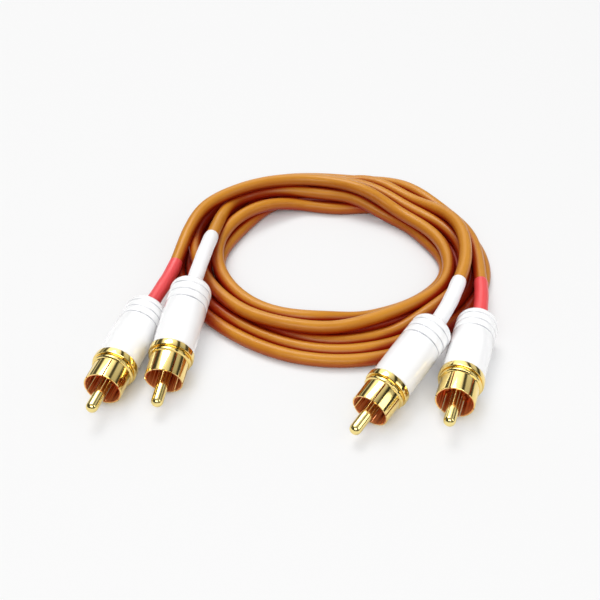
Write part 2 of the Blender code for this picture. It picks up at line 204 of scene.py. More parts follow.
class Graph:
    """A node tree that nodes are added to."""

    def __init__(self, tree: bpy.types.NodeTree) -> None:
        """Take the tree of a material or a world."""
        self.tree = tree

    def node(self, kind: str, settings: dict[str, Any] | None = None,
             sockets: dict[Any, Any] | None = None, out: Any = 0) -> Sock:
        """Add any node.

        Args:
            kind: The node's type.
            settings: Attributes to set first, such as its operation.
            sockets: Input name or index to a value or a Sock.
            out: Name or index of the wanted output.

        Returns:
            The wanted output.
        """
        node = self.tree.nodes.new(kind)
        for key, value in (settings or {}).items():
            setattr(node, key, value)
        for key, value in (sockets or {}).items():
            supply(self.tree, node.inputs[key], value)
        return Sock(self.tree, node.outputs[out])

    def part(self, vector: Sock, axis: int) -> Sock:
        """One component of a vector: 0, 1 or 2 for X, Y or Z."""
        return self.node("ShaderNodeSeparateXYZ", sockets={0: vector}, out=axis)

    def vector(self, operation: str, *vectors: Any, out: Any = 0) -> Sock:
        """Add one Vector Math node.

        Args:
            operation: The node's operation.
            vectors: Its vectors in order, values or Socks.
            out: Name or index of the wanted output.

        Returns:
            The wanted output.
        """
        sockets = dict(enumerate(vectors))
        return self.node("ShaderNodeVectorMath", {"operation": operation}, sockets, out)

    def blend(self, share: Any, first: Any, second: Any) -> Sock:
        """Mix two colours.

        Args:
            share: How much of the second, a number or Sock.
            first: Colour or Sock.
            second: Colour or Sock.

        Returns:
            The mixed colour.
        """
        sockets = {0: share, 6: first, 7: second}
        return self.node("ShaderNodeMix", {"data_type": "RGBA"}, sockets, out=2)


@dataclass(frozen=True)
class Grain:
    """A noise pattern: features for each unit of length, octaves and their roughness."""

    size: float
    detail: float = 3.0
    rough: float = 0.5


class Shader(Graph):
    """A material being built round one Principled node."""

    OPENNESS_SAMPLES = 8

    def __init__(self, name: str) -> None:
        """Start an empty material with a Principled node."""
        self.material = bpy.data.materials.new(name)
        self.material.use_nodes = True
        super().__init__(self.material.node_tree)
        self.principled = self.tree.nodes["Principled BSDF"]

    def place(self, scale: Point = EVEN) -> Sock:
        """Object coordinates in metres, scaled."""
        coords = self.node("ShaderNodeTexCoord", out="Object")
        return self.node("ShaderNodeMapping", sockets={"Vector": coords, "Scale": scale})

    def local(self) -> Sock:
        """Place on a turned piece in mm, with Z along its axis from the mouth to the rear."""
        return self.node("ShaderNodeAttribute", {"attribute_name": LOCAL}, out="Vector")

    def facing_up(self) -> Sock:
        """How far the surface faces up, from 0 under a piece to 1 on top of it."""
        normal = self.node("ShaderNodeNewGeometry", out="Normal")
        return self.part(normal, 2) * 0.5 + 0.5

    def openness(self, reach: float) -> Sock:
        """How open the surroundings are within a distance in metres, from 0 to 1."""
        settings = {"samples": self.OPENNESS_SAMPLES}
        return self.node("ShaderNodeAmbientOcclusion", settings, {"Distance": reach}, out="AO")

    def noise(self, grain: Grain, scale: Point = EVEN, at: Sock | None = None) -> Sock:
        """Noise between 0 and 1.

        Args:
            grain: The pattern.
            scale: Stretch of the object coordinates.
            at: Another vector to read the noise at.

        Returns:
            The noise factor.
        """
        return self.node("ShaderNodeTexNoise", sockets={
            "Vector": self.place(scale) if at is None else at, "Scale": grain.size,
            "Detail": grain.detail, "Roughness": grain.rough}, out="Fac")

    def bump(self, height: Sock, strength: float, distance: float) -> None:
        """Feed a Bump node, its distance in metres, into the Principled node's Normal."""
        self.feed("Normal", self.node("ShaderNodeBump", sockets={
            "Height": height, "Strength": strength, "Distance": distance}, out="Normal"))

    def feed(self, name: str, value: Any) -> None:
        """Set or link one socket of the Principled node."""
        supply(self.tree, self.principled.inputs[name], value)


# Finishes
@dataclass(frozen=True)
class Finish:
    """A finish, painted onto a material of its name."""

    name: str

    def build(self) -> bpy.types.Material:
        """Make the material."""
        shader = Shader(self.name)
        self.paint(shader)
        return shader.material

    def paint(self, shader: Shader) -> None:
        """Feed the material's sockets."""
        raise NotImplementedError


@dataclass(frozen=True)
class GoldPlate(Finish):
    """Polished gold plate with faint turning rings and handling haze."""

    bright: Colour = (0.95, 0.77, 0.34, 1.0)
    deep: Colour = (0.87, 0.63, 0.18, 1.0)
    roughness: float = 0.10
    haze: float = 0.08
    ring_haze: float = 0.05
    cloud: Grain = Grain(260.0, 4.0, 0.6)
    ring: Grain = Grain(3.0, 2.0, 0.6)
    ring_stretch: Point = (0.06, 0.06, 1.0)
    relief: Pair = (0.04, 0.00002)

    def plate(self, shader: Shader, local: Sock) -> Sock:
        """Feed the plate's roughness and bump.

        Args:
            shader: The material being built.
            local: Place on the turned piece in mm.

        Returns:
            The plate's colour.
        """
        cloud = shader.noise(self.cloud)
        rings = shader.noise(self.ring, at=shader.vector("MULTIPLY", local, self.ring_stretch))
        base = self.roughness - self.ring_haze
        shader.feed("Roughness", cloud * self.haze + rings * self.ring_haze + base)
        shader.bump(rings, *self.relief)
        return shader.blend(cloud, self.bright, self.deep)

    def paint(self, shader: Shader) -> None:
        """Feed the material's sockets."""
        shader.feed("Base Color", self.plate(shader, shader.local()))
        shader.feed("Metallic", 1.0)


@dataclass(frozen=True)
class SleeveGold(GoldPlate):
    """Gold plate of the ground sleeve, whose inside is painted with the red insulator's
    reflection, streaks of painted highlight and painted shade, and painted light at the mouth.
    """

    wall: Pair = (4.95, 0.08)
    floor: Pair = (6.8, 0.3)
    # Depth and soft width of the painted light at the mouth, in mm, and its share.
    mouth: Pair = (1.8, 3.6)
    mouth_light_share: float = 0.55
    inside_metal: float = 0.50
    streaks: Grain = Grain(4.2, 4.0, 0.75)
    streak_highlight_step: Pair = (0.54, 0.14)
    streak_shade_step: Pair = (0.44, 0.12)
    # Inside colours, in order: painted reflection of the insulator, painted highlight streaks,
    # painted shade streaks.
    painted_insulator_reflection: Colour = (0.58, 0.105, 0.008, 1.0)
    painted_streak_highlight: Colour = (1.0, 0.42, 0.15, 1.0)
    dark: Colour = (0.22, 0.016, 0.001, 1.0)

    def paint(self, shader: Shader) -> None:
        """Feed the material's sockets."""
        local = shader.local()
        plate = self.plate(shader, local)
        flat = shader.vector("MULTIPLY", local, (1.0, 1.0, 0.0))
        along = shader.part(local, 2)
        inside = shader.vector("LENGTH", flat, out="Value").below(*self.wall)
        inside = inside * along.below(*self.floor)
        # Streaks of painted highlight and painted shade round the inner wall.
        streaks = shader.noise(self.streaks, at=shader.vector("NORMALIZE", flat))
        wall = shader.blend(streaks.above(*self.streak_highlight_step), self.painted_insulator_reflection, self.painted_streak_highlight)
        wall = shader.blend(streaks.below(*self.streak_shade_step), wall, self.dark)
        # Painted light, brightest at the mouth and fading inwards.
        wall = shader.blend(along.below(*self.mouth) * self.mouth_light_share, wall, self.painted_streak_highlight)
        shader.feed("Base Color", shader.blend(inside, plate, wall))
        shader.feed("Metallic", 1.0 - inside * (1.0 - self.inside_metal))


@dataclass(frozen=True)
class Enamel(Finish):
    """Glossy white enamel, slightly uneven, with patchy painted shade in the turned grooves."""

    name: str = "shell_white_enamel"
    colour: Colour = (0.98, 0.98, 0.98, 1.0)
    shade: Colour = (0.95, 0.95, 0.96, 1.0)
    shade_share: float = 0.5
    # Painted shade in the grooves, patchy round the shell.
    groove: Colour = (0.24, 0.25, 0.31, 1.0)
    groove_shade_stripe: Pair = (0.07, 0.16)
    groove_shade_share: float = 0.9
    roughness: Pair = (0.20, 0.08)
    coat: Pair = (0.4, 0.12)
    cloud: Grain = Grain(90.0)
    peel: Grain = Grain(1500.0, 2.0)
    peel_relief: Pair = (0.04, 0.00003)
    groove_shade_grain: Grain = Grain(0.22, 2.0)
    groove_shade_stretch: Point = (1.0, 1.0, 0.4)
    groove_shade_contrast: Pair = (2.6, 0.7)
    groove_shade_range: Pair = (0.15, 1.0)

    def paint(self, shader: Shader) -> None:
        """Feed the material's sockets."""
        cloud, peel = shader.noise(self.cloud), shader.noise(self.peel)
        local = shader.local()
        along = shader.part(local, 2)
        # Patches where the painted groove shade is stronger or weaker.
        groove_shade_patches = shader.noise(self.groove_shade_grain, at=shader.vector("MULTIPLY", local, self.groove_shade_stretch))
        groove_shade_patches = (groove_shade_patches * self.groove_shade_contrast[0] - self.groove_shade_contrast[1]).clamp(*self.groove_shade_range)
        lines = sum(along.band(middle, *self.groove_shade_stripe) for middle in GROOVES).clamp()
        paint = shader.blend(cloud * self.shade_share, self.colour, self.shade)
        lines = lines * groove_shade_patches * self.groove_shade_share
        shader.feed("Base Color", shader.blend(lines, paint, self.groove))
        shader.feed("Roughness", cloud * self.roughness[1] + self.roughness[0])
        shader.feed("Coat Weight", self.coat[0])
        shader.feed("Coat Roughness", self.coat[1])
        shader.bump(peel, *self.peel_relief)


@dataclass(frozen=True)
class ShrinkSleeve(Finish):
    """Heat-shrink tubing with fine drawn wrinkles, and painted shade underneath."""

    colour: Colour
    # Painted shade, blended in where the surface faces down.
    shade: Colour
    under_shade_level: Pair = (1.15, 1.25)
    mottle: float = 0.4
    roughness: Pair = (0.28, 0.12)
    cloud: Grain = Grain(260.0)
    wrinkle: Grain = Grain(900.0, 2.0, 0.6)
    wrinkle_stretch: Point = (1.0, 0.25, 1.0)
    wrinkle_relief: Pair = (0.15, 0.00006)

    def paint(self, shader: Shader) -> None:
        """Feed the material's sockets."""
        cloud = shader.noise(self.cloud)
        wrinkle = shader.noise(self.wrinkle, self.wrinkle_stretch)
        # Painted shade underneath, by how far the surface faces down, broken by the cloud.
        under = self.under_shade_level[0] - shader.facing_up() * self.under_shade_level[1]
        under = (under + (cloud - 0.5) * self.mottle).clamp()
        shader.feed("Base Color", shader.blend(under, self.colour, self.shade))
        shader.feed("Roughness", cloud * self.roughness[1] + self.roughness[0])
        shader.bump(wrinkle, *self.wrinkle_relief)


@dataclass(frozen=True)
class Jacket(Finish):
    """Satin orange-brown jacket, with painted light on top, painted shade underneath and red-brown
    painted shade in the gaps.
    """

    name: str = "jacket_orange_brown"
    # Painted light and shade: the light tone on top, the middle tone on the sides, the deep tone
    # underneath.
    light: Colour = (0.61, 0.255, 0.020, 1.0)
    middle: Colour = (0.43, 0.125, 0.006, 1.0)
    deep: Colour = (0.27, 0.048, 0.004, 1.0)
    # Painted shade in the gaps between turns, where little is open round the surface.
    gap: Colour = (0.32, 0.012, 0.0005, 1.0)
    lit_top_step: Pair = (0.83, 0.36)
    under_shade_step: Pair = (0.40, 0.40)
    gap_shade_level: Pair = (2.10, 2.55)
    gap_shade_reach: float = 0.010
    table_step: Pair = (0.0017, 0.0014)
    roughness: Pair = (0.25, 0.14)
    specular: float = 0.28
    cloud: Grain = Grain(75.0, 4.0, 0.6)
    cloud_share: float = 0.35
    speck: Grain = Grain(1400.0, 3.0, 0.6)
    speck_share: float = 0.08
    speck_relief: Pair = (0.10, 0.00004)

    def paint(self, shader: Shader) -> None:
        """Feed the material's sockets."""
        cloud, speck = shader.noise(self.cloud), shader.noise(self.speck)
        # Painted light on top and painted shade underneath, by how far the surface faces up,
        # broken by the grain.
        up = shader.facing_up() + (cloud - 0.5) * self.cloud_share
        up = up + (speck - 0.5) * self.speck_share
        lit_and_shaded_tone = shader.blend(up.above(*self.lit_top_step), self.middle, self.light)
        lit_and_shaded_tone = shader.blend(up.above(*self.under_shade_step), self.deep, lit_and_shaded_tone)
        # Painted shade where the surroundings are close, kept off the lowest part that meets the
        # table.
        off_table = shader.part(shader.place(), 2).above(*self.table_step)
        gap_shade = self.gap_shade_level[0] - shader.openness(self.gap_shade_reach) * self.gap_shade_level[1]
        shader.feed("Base Color", shader.blend(gap_shade.clamp() * off_table, lit_and_shaded_tone, self.gap))
        shader.feed("Roughness", speck * self.roughness[1] + self.roughness[0])
        shader.feed("Specular IOR Level", self.specular)
        shader.bump(speck, *self.speck_relief)


@dataclass(frozen=True)
class Plastic(Finish):
    """Moulded plastic, faintly mottled in colour and gloss."""

    colour: Colour
    shade: Colour
    mottle: Grain
    roughness: Pair

    def paint(self, shader: Shader) -> None:
        """Feed the material's sockets."""
        cloud = shader.noise(self.mottle)
        shader.feed("Base Color", shader.blend(cloud, self.colour, self.shade))
        shader.feed("Roughness", cloud * self.roughness[1] + self.roughness[0])


class Look(Enum):
    """The finishes of the cable."""

    SLEEVE = SleeveGold("gold_sleeve")
    PIN = GoldPlate("gold_pin", (0.93, 0.79, 0.36, 1.0), (0.84, 0.65, 0.21, 1.0),
                    roughness=0.14, haze=0.06)
    ENAMEL = Enamel()
    JACKET = Jacket()
    AMBER = Plastic("insulator_amber", (0.62, 0.15, 0.03, 1.0), (0.38, 0.06, 0.012, 1.0),
                    Grain(400.0), (0.2, 0.1))
    LEAD = Plastic("lead_insulation", (0.70, 0.36, 0.20, 1.0), (0.55, 0.26, 0.14, 1.0),
                   Grain(500.0), (0.35, 0.2))
    # The second colour of each boot is its painted shade underneath.
    RED = ShrinkSleeve("boot_red_shrink", (0.84, 0.075, 0.080, 1.0), (0.50, 0.015, 0.013, 1.0))
    WHITE = ShrinkSleeve("boot_white_shrink", (0.94, 0.94, 0.95, 1.0), (0.80, 0.81, 0.85, 1.0))


# Modelling helpers
class Bench:
    """Blender's modelling tools, used as by hand."""

    # In mm, apart from the share of an edge that a rounding may take, and its steps
    POLE_R = 0.001
    MERGE = 0.005
    SAME = 1e-9
    NEAR_HALF = 0.49
    ROUND_STEPS = 3

    @staticmethod
    def clear() -> None:
        """Leave edit mode and deselect everything."""
        if bpy.context.object is not None and bpy.context.object.mode != "OBJECT":
            bpy.ops.object.mode_set(mode="OBJECT")
        bpy.ops.object.select_all(action="DESELECT")

    @staticmethod
    def only(item: Piece) -> None:
        """Select one object and make it active."""
        Bench.clear()
        item.select_set(True)
        bpy.context.view_layer.objects.active = item

    @staticmethod
    def put(name: str, data: bpy.types.ID) -> Piece:
        """Add an object of some data to the scene."""
        item = bpy.data.objects.new(name, data)
        bpy.context.scene.collection.objects.link(item)
        return item

    @staticmethod
    def turned(name: str, rings: list[Ring], segments: int) -> Piece:
        """Pull a round piece out of one circle, ring by ring, along local Z.

        Args:
            name: Name of the new object.
            rings: Axial place and radius of each ring, in mm. Radius 0 ends in a pole. Where
                the last ring is the first one again, the outline is closed.
            segments: Sides of the circle.

        Returns:
            The new object.
        """
        Bench.clear()
        at, size = rings[0][0], max(rings[0][1], Bench.POLE_R)
        bpy.ops.mesh.primitive_circle_add(vertices=segments, radius=size * MM,
                                          fill_type="NOTHING", location=(0.0, 0.0, at * MM))
        item = bpy.context.object
        item.name = name
        item.data.name = name
        bpy.ops.object.transform_apply(location=True, rotation=False, scale=False)
        bpy.ops.object.mode_set(mode="EDIT")
        bpy.ops.mesh.select_all(action="SELECT")
        for place, reach in rings[1:]:
            reach = max(reach, Bench.POLE_R)
            bpy.ops.mesh.extrude_region_move(
                TRANSFORM_OT_translate={"value": (0.0, 0.0, (place - at) * MM)})
            if abs(reach - size) > Bench.SAME:
                share = reach / size
                bpy.ops.transform.resize(value=(share, share, 1.0),
                                         center_override=(0.0, 0.0, place * MM))
            at, size = place, reach
        bpy.ops.mesh.select_all(action="SELECT")
        bpy.ops.mesh.remove_doubles(threshold=Bench.MERGE * MM)
        bpy.ops.mesh.normals_make_consistent(inside=False)
        bpy.ops.object.mode_set(mode="OBJECT")
        return item

    @staticmethod
    def soften(rings: list[Ring], corners: dict[int, float]) -> list[Ring]:
        """Round several corners of a closed outline, and close it.

        Args:
            rings: The outline.
            corners: Index of each corner to how far back its rounding starts, in mm.

        Returns:
            The outline, with its first ring given again at the end.
        """
        made: list[Ring] = []
        for at, ring in enumerate(rings):
            if at not in corners:
                made.append(ring)
                continue
            corner, ends = Vector(ring), []
            for beside in (rings[at - 1], rings[(at + 1) % len(rings)]):
                side = Vector(beside) - corner
                back = min(corners[at], side.length * Bench.NEAR_HALF)
                ends.append(corner + side.normalized() * back)
            for step in range(Bench.ROUND_STEPS + 1):
                share = step / Bench.ROUND_STEPS
                rest = 1 - share
                point = ends[0] * rest ** 2 + corner * 2 * share * rest + ends[1] * share ** 2
                made.append((point.x, point.y))
        return made + made[:1]

    @staticmethod
    def cut(item: Piece, cutter: Piece) -> None:
        """Subtract a cutter and drop it.

        Args:
            item: The piece to cut.
            cutter: What is taken out of it.
        """
        Bench.only(item)
        step = item.modifiers.new("cut", "BOOLEAN")
        step.operation = "DIFFERENCE"
        step.solver = "EXACT"
        step.object = cutter
        bpy.ops.object.modifier_apply(modifier=step.name)
        bpy.data.objects.remove(cutter, do_unlink=True)

    @staticmethod
    def tube(name: str, line: list[Vector], radius: float, sides: int,
             swell: list[float] | None = None) -> Piece:
        """Lay a round tube, as a curve of one open spline.

        Args:
            name: Name of the new object.
            line: Its centreline in mm.
            radius: Its radius in mm.
            sides: Resolution of its round.
            swell: What the radius is multiplied by at each point.

        Returns:
            The new object.
        """
        data = bpy.data.curves.new(name, "CURVE")
        data.dimensions = "3D"
        data.bevel_depth = radius * MM
        data.bevel_resolution = sides
        data.use_fill_caps = True
        spline = data.splines.new("POLY")
        spline.points.add(len(line) - 1)
        for slot, point, share in zip(spline.points, line, swell or [1.0] * len(line)):
            slot.co = (*(point * MM), 1.0)
            slot.radius = share
        spline.use_smooth = True
        return Bench.put(name, data)

    @staticmethod
    def mark(item: Piece) -> None:
        """Keep each point's place on the pattern piece, in mm, as an attribute for its finish."""
        kept = item.data.attributes.new(LOCAL, "FLOAT_VECTOR", "POINT")
        for slot, point in zip(kept.data, item.data.vertices):
            slot.vector = point.co / MM

    @staticmethod
    def finish(item: Piece, angle: float) -> None:
        """Shade a piece smooth below an edge angle in degrees."""
        Bench.only(item)
        bpy.ops.object.shade_smooth_by_angle(angle=radians(angle))
        Bench.clear()

    @staticmethod
    def copy(item: Piece, name: str, place: Matrix) -> Piece:
        """Copy a finished piece with its own mesh.

        Args:
            item: The pattern piece.
            name: Name of the copy.
            place: Where the copy goes, put into its mesh.

        Returns:
            The copy, its object at the origin.
        """
        made = item.copy()
        made.data = item.data.copy()
        made.name = name
        made.data.name = name
        bpy.context.scene.collection.objects.link(made)
        made.data.transform(place)
        return made


def settle(item: Piece, look: bpy.types.Material, node: str) -> Piece:
    """Dress a piece, ride it on the frame and let it stand for its CAD node.

    Args:
        item: The finished piece.
        look: Its material.
        node: CAD node that it replaces.

    Returns:
        The piece.
    """
    item.data.materials.clear()
    item.data.materials.append(look)
    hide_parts(node)
    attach(item, ROOT)
    LOG.info("%s stands for %s", item.name, node)
    return item


# Plugs
@dataclass(frozen=True)
class PlugPose:
    """Where one plug lies, in the photograph's floor frame, in mm and degrees."""

    corner: Corner
    mouth: Point
    heading: float
    pitch: float
    boot_end: Point
    boot_d: float
    turn: float

    def rear(self) -> Vector:
        """Unit vector from the mouth to the cable."""
        heading, pitch = radians(self.heading), radians(self.pitch)
        return Vector((-sin(heading) * cos(pitch), cos(heading) * cos(pitch), sin(pitch)))

    def matrix(self) -> Matrix:
        """Local Z runs rearwards from the mouth, and the plug is turned about it."""
        heading = radians(self.heading)
        rear = self.rear()
        side = Vector((cos(heading), sin(heading), 0.0))
        place = Matrix((side, rear.cross(side), rear)).transposed().to_4x4()
        place.translation = (Vector(self.mouth) + SHIFT) * MM
        return place @ Matrix.Rotation(radians(self.turn), 4, "Z")


PLUGS: tuple[PlugPose, ...] = (
    PlugPose(Corner.OUTER_LEFT, (-51.1, -42.1, 6.17), -15.2, 0.0, (-36.6, 10.2, 6.2), 4.1, 8.0),
    PlugPose(Corner.INNER_LEFT, (-35.7, -38.5, 5.5), -9.9, 9.7, (-26.3, 16.7, 10.8), 4.4, 31.0),
    PlugPose(Corner.INNER_RIGHT, (17.7, -49.1, 5.4), -35.3, 8.6, (45.2, -3.2, 10.1), 4.4, 12.0),
    PlugPose(Corner.OUTER_RIGHT, (39.5, -46.9, 6.17), -17.9, 0.0, (52.3, 1.0, 6.2), 4.1, 40.0),
)


@dataclass
class PlugPattern:
    """The turned pieces of one plug, modelled once along local Z, in mm."""

    sides: int = 96
    sleeve_r: float = 5.26
    sleeve_wall: float = 0.55
    mouth_taper: float = 0.04
    floor: float = 6.3
    lip: Pair = (6.35, 7.0)
    lip_rise: float = 0.2
    lip_r: float = 5.75
    collar: Pair = (7.5, 9.4)
    collar_r: float = 6.15
    groove_r: float = 5.45
    shoulder: float = 0.05
    neck_r: float = 4.5
    neck_rear: float = 12.0
    neck_bore: float = 3.6
    slits: int = 6
    slit_size: Pair = (2.4, 0.38)
    slit_depth: float = 6.0
    slit_over: float = 1.0
    pin_r: float = 1.6
    pin_out: float = 8.0
    pin_rear: float = 8.3
    pin_sides: int = 48
    nose: float = 1.45
    nose_fullness: float = 0.9
    nose_steps: int = 9
    bush: Pair = (6.6, 9.0)
    bush_r: float = 3.5
    hub_front: float = 5.8
    hub_r: Pair = (2.45, 2.6)
    pin_fit: float = 0.05
    shell: Pair = (9.65, 33.2)
    shell_front_r: float = 5.72
    shell_r: float = 5.85
    shell_full: float = 8.0
    shell_bore: float = 4.82
    shell_round: float = 2.9
    shell_steps: int = 12
    groove_cut: tuple[Pair, ...] = ((-0.34, 0.0), (-0.24, 0.05), (-0.12, 0.24),
                                    (0.12, 0.24), (0.24, 0.05), (0.34, 0.0))
    rim_cut: tuple[Pair, ...] = ((0.0, 0.22), (0.06, 0.08), (0.2, 0.0))
    throat: tuple[Pair, ...] = ((0.05, 0.22), (0.3, 0.12), (3.0, 0.12))
    throat_depth: float = 4.4
    rear_rim: float = 0.6
    made: dict[str, Piece] = field(default_factory=dict)

    def slit(self, index: int) -> Piece:
        """Cutter for one of the sleeve's slits."""
        Bench.clear()
        bpy.ops.mesh.primitive_cube_add(size=1.0)
        cutter = bpy.context.object
        length = self.slit_depth + self.slit_over
        middle = (self.slit_depth - self.slit_over) / 2.0
        bpy.ops.object.mode_set(mode="EDIT")
        bpy.ops.mesh.select_all(action="SELECT")
        bpy.ops.transform.resize(value=(*(side * MM for side in self.slit_size), length * MM))
        bpy.ops.transform.translate(value=(self.sleeve_r * MM, 0.0, middle * MM))
        bpy.ops.object.mode_set(mode="OBJECT")
        cutter.data.transform(Matrix.Rotation(2.0 * pi * (index + 0.5) / self.slits, 4, "Z"))
        return cutter

    def sleeve(self) -> Piece:
        """Gold ground sleeve, lip and collar, with slits that open at the mouth."""
        inner = self.sleeve_r - self.sleeve_wall
        (lip, lip_rear), (collar, collar_rear) = self.lip, self.collar
        rings = [
            (0.0, self.sleeve_r - self.mouth_taper), (lip - self.lip_rise, self.sleeve_r),
            (lip, self.lip_r), (lip_rear, self.lip_r),
            (lip_rear + self.shoulder, self.groove_r), (collar, self.groove_r),
            (collar + self.shoulder, self.collar_r), (collar_rear, self.collar_r),
            (collar_rear, self.neck_r), (self.neck_rear, self.neck_r),
            (self.neck_rear, self.neck_bore), (self.floor, self.neck_bore),
            (self.floor, inner), (0.0, inner),
        ]
        rounding = {0: 0.12, 2: 0.18, 3: 0.18, 6: 0.25, 7: 0.3, 13: 0.1}
        item = Bench.turned("sleeve_pattern", Bench.soften(rings, rounding), self.sides)
        cutters = [self.slit(index) for index in range(self.slits)]
        Bench.only(cutters[0])
        for cutter in cutters:
            cutter.select_set(True)
        bpy.ops.object.join()
        Bench.cut(item, bpy.context.object)
        Bench.mark(item)
        Bench.finish(item, angle=30.0)
        return item

    def pin(self) -> Piece:
        """Gold centre pin with a rounded tip."""
        rings: list[Ring] = [(-self.pin_out, 0.0)]
        for step in range(1, self.nose_steps + 1):
            angle = step / self.nose_steps * pi / 2.0
            rings.append((-self.pin_out + self.nose * (1.0 - cos(angle)),
                          self.pin_r * sin(angle) ** self.nose_fullness))
        rings += [(self.pin_rear, self.pin_r), (self.pin_rear, 0.0)]
        item = Bench.turned("pin_pattern", rings, self.pin_sides)
        Bench.mark(item)
        Bench.finish(item, angle=40.0)
        return item

    def insulator(self) -> Piece:
        """Amber bush round the pin, with a raised hub."""
        bore = self.pin_r + self.pin_fit
        rings = [
            (self.bush[0], self.bush_r), (self.bush[0], self.hub_r[1]),
            (self.hub_front, self.hub_r[0]), (self.hub_front, bore),
            (self.bush[1], bore), (self.bush[1], self.bush_r),
        ]
        rings = Bench.soften(rings, {2: 0.2, 3: 0.1})
        item = Bench.turned("insulator_pattern", rings, self.pin_sides)
        Bench.finish(item, angle=35.0)
        return item

    def barrel(self, boot_r: float) -> Piece:
        """White shell with three fine grooves and a round rear edge.

        Args:
            boot_r: Radius of the boot that leaves it.

        Returns:
            The pattern piece.
        """
        front, rear = self.shell
        rings = [(front + back, self.shell_front_r - cut) for back, cut in self.rim_cut]
        rings.append((front + self.shell_full, self.shell_r))
        rings += [(groove + back, self.shell_r - cut)
                  for groove in GROOVES for back, cut in self.groove_cut]
        drop = self.shell_r - boot_r - self.rear_rim
        for step in range(self.shell_steps + 1):
            angle = step / self.shell_steps * pi / 2.0
            rings.append((rear - self.shell_round * (1.0 - sin(angle)),
                          self.shell_r - drop * (1.0 - cos(angle))))
        rings += [(rear - back, boot_r + gap) for back, gap in self.throat]
        rings += [(rear - self.throat_depth, self.shell_bore), (front, self.shell_bore)]
        item = Bench.turned("shell_pattern", rings + rings[:1], self.sides)
        Bench.mark(item)
        Bench.finish(item, angle=28.0)
        return item

    def build(self) -> None:
        """Model the patterns that all four plugs share."""
        self.made = {"sleeve": self.sleeve(), "pin": self.pin(), "insulator": self.insulator()}

    def drop(self) -> None:
        """Remove the patterns once they are copied."""
        for item in self.made.values():
            bpy.data.objects.remove(item, do_unlink=True)


@dataclass
class Plug:
    """One phono plug with its boot, sizes in mm."""

    pose: PlugPose
    looks: dict[Look, bpy.types.Material]
    boot_front: float = 29.2
    boot_pull: Pair = (0.45, 0.25)
    boot_steps: int = 48
    boot_sides: int = 10
    ripple: float = 0.025
    ripple_rate: float = 21.0
    thin_from: float = 0.94
    thin_by: float = 0.12
    pieces: list[Piece] = field(default_factory=list)

    def boot(self, leave: Vector) -> Piece:
        """Heat-shrink boot from inside the shell to the free cable, as a filled tube.

        Args:
            leave: Direction of the free cable where it leaves the boot.

        Returns:
            The boot.
        """
        rear = self.pose.rear()
        start = Vector(self.pose.mouth) + SHIFT + rear * self.boot_front
        end = Vector(self.pose.boot_end) + SHIFT
        reach = (end - start).length
        first = start + rear * reach * self.boot_pull[0]
        second = end - leave * reach * self.boot_pull[1]
        line, sizes = [], []
        for index in range(self.boot_steps + 1):
            share = index / self.boot_steps
            rest = 1.0 - share
            line.append(start * rest ** 3 + first * 3 * rest * rest * share
                        + second * 3 * rest * share * share + end * share ** 3)
            wave = self.ripple * sin(share * self.ripple_rate + self.pose.heading)
            thinned = max(share - self.thin_from, 0.0) / (1.0 - self.thin_from) * self.thin_by
            sizes.append(self.pose.boot_d / 2.0 + wave - thinned)
        Bench.only(Bench.tube("boot", line, 1.0, self.boot_sides, sizes))
        bpy.ops.object.convert(target="MESH")
        item = bpy.context.object
        item.name = "heatshrink_" + self.pose.corner.value
        Bench.finish(item, angle=50.0)
        return item

    def build(self, pattern: PlugPattern, leave: Vector) -> None:
        """Copy the pattern pieces to this plug and add its own shell and boot.

        Args:
            pattern: The shared pattern pieces.
            leave: Direction of the free cable where it leaves the boot.
        """
        label = self.pose.corner.value
        place = self.pose.matrix()
        looks = self.looks
        sleeve, pin, bush = (
            Bench.copy(pattern.made[part], name + label, place) for part, name in
            (("sleeve", "sleeve_"), ("pin", "centre_pin_"), ("insulator", "bush_")))
        shell_pattern = pattern.barrel(self.pose.boot_d / 2.0)
        shell = Bench.copy(shell_pattern, "barrel_" + label, place)
        bpy.data.objects.remove(shell_pattern, do_unlink=True)
        boot = self.boot(leave)
        red = self.pose.corner in (Corner.OUTER_LEFT, Corner.OUTER_RIGHT)
        look, slot = (Look.RED, "boot_red") if red else (Look.WHITE, "boot_white")
        self.pieces = [
            settle(sleeve, looks[Look.SLEEVE], "body_" + label),
            settle(pin, looks[Look.PIN], "pin_" + label),
            settle(bush, looks[Look.AMBER], "insulator_" + label),
            settle(shell, looks[Look.ENAMEL], "shell_" + label),
            settle(boot, looks[look], "boot_" + label),
        ]
        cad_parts["clamp_" + label].material_slots[0].material = looks[Look.PIN]
        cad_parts["lead_" + label].material_slots[0].material = looks[Look.LEAD]


